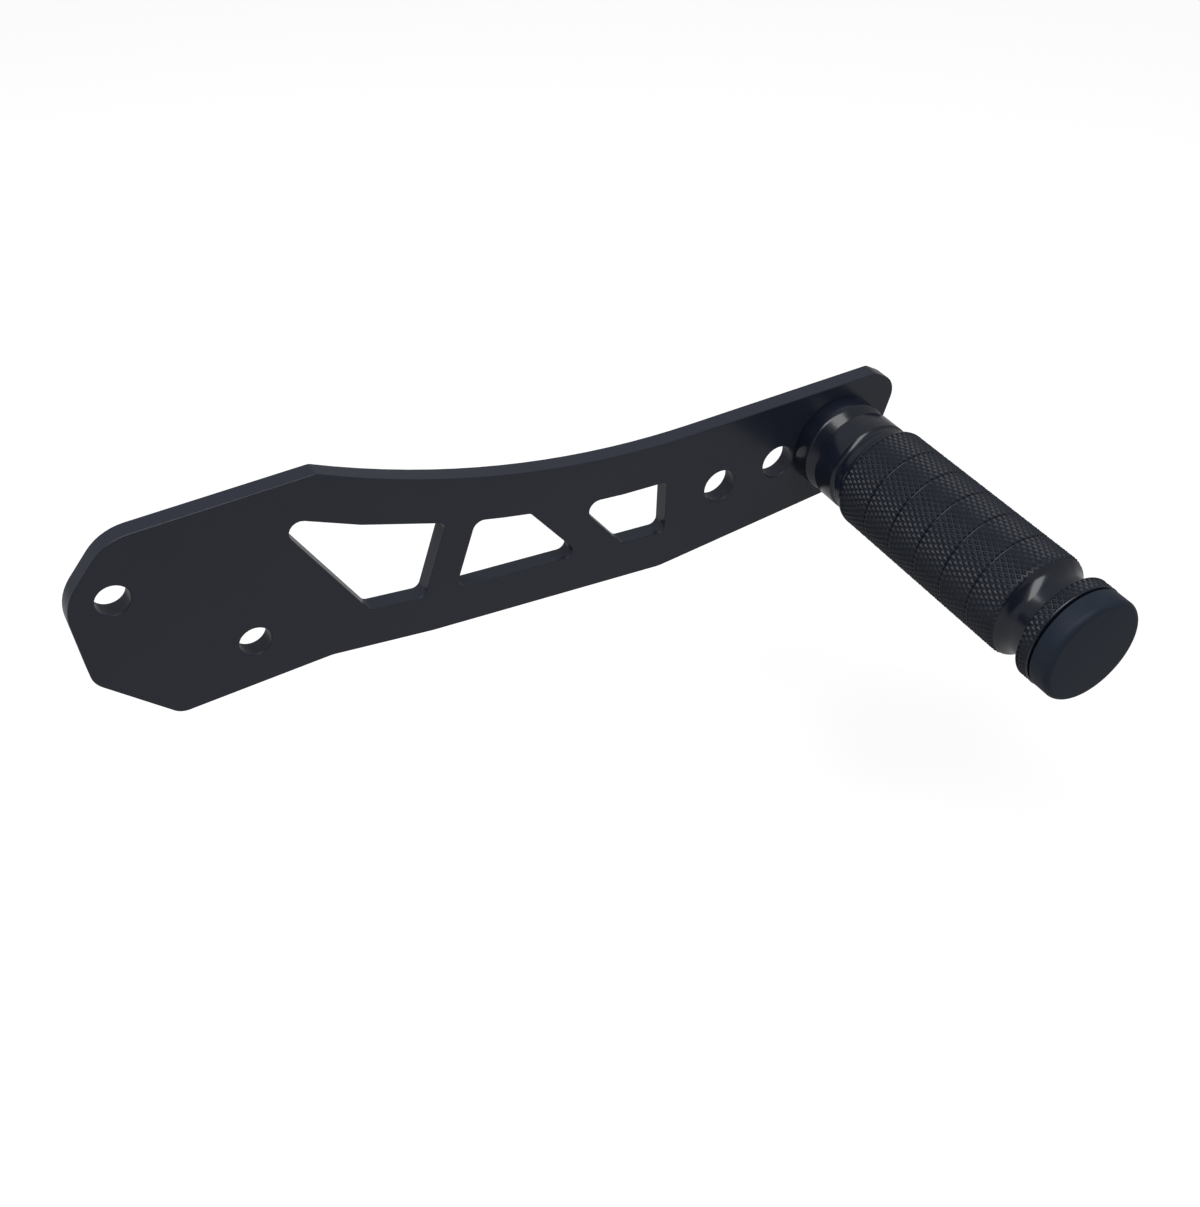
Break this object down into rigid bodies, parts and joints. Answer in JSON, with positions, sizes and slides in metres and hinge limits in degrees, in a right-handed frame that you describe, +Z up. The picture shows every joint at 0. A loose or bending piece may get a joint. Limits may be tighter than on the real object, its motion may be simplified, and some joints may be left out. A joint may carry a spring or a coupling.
{
  "type": "motorbike shift lock peg",
  "caption": "Flat arm plate with lightening cut-outs and a knurled round peg standing square off its outer end. The plate bolts on flat, and spare holes let the peg move inwards.",
  "frame": {"origin": "midway between the two mounting holes, on the plate's back face", "axes": "+X along the arm towards the peg, +Y out of the plate's back face, +Z up; the peg points along -Y"},
  "size_m": [0.2373, 0.1224, 0.0764],
  "materials": {
    "powder_coat": "satin black powder coat on steel plate",
    "black_anodised": "black anodised, knurled grip with bright smooth necks",
    "zinc_plate": "zinc plated steel"
  },
  "bodies": {
    "root": {"plate": "powder_coat", "spacer_collar": "black_anodised", "peg_grip": "black_anodised", "end_cap": "black_anodised", "peg_bolt": "zinc_plate", "spring_washer": "zinc_plate", "plain_washer": "zinc_plate"}
  },
  "joints": []
}
